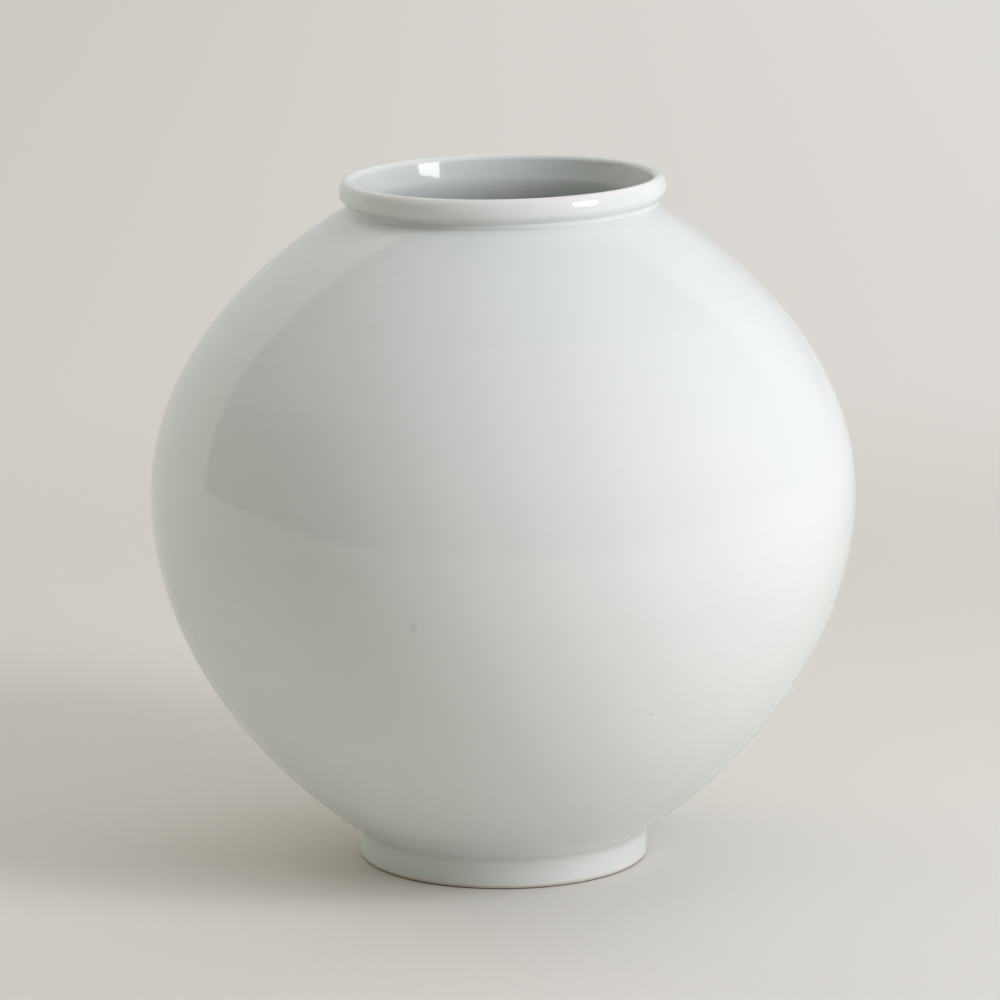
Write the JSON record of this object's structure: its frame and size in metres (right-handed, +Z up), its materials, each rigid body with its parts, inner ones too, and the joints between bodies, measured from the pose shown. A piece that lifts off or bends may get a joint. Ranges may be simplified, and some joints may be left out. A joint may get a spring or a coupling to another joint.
{
  "type": "moon jar",
  "caption": "Round white glazed storage jar made of two thrown bowls joined at the belly, with a short neck, a rolled lip and a narrow turned foot ring.",
  "frame": {"origin": "centre of the circle that the foot ring rests on, in the plane of that resting face", "axes": "+Z up along the turning axis, +X towards the side on which the mouth sits slightly higher, which is the jar's right side seen from the front, and the front faces -Y"},
  "size_m": [0.3, 0.3, 0.2948],
  "materials": {
    "glazed_porcelain": "glossy, slightly bluish-white clear glaze over white porcelain, with faint turning rings and a few tiny iron specks",
    "foot_porcelain": "the same glaze, wiped off the sloped lower edge and the resting face, where creamy bare clay shows",
    "joining_slip": "fired porcelain slip, scraped flush outside and left as a low ridge inside"
  },
  "bodies": {
    "root": {"foot_ring": "foot_porcelain", "lower_bowl": "glazed_porcelain", "seam_slip": "joining_slip", "upper_bowl": "glazed_porcelain", "rolled_lip": "glazed_porcelain"}
  },
  "joints": []
}
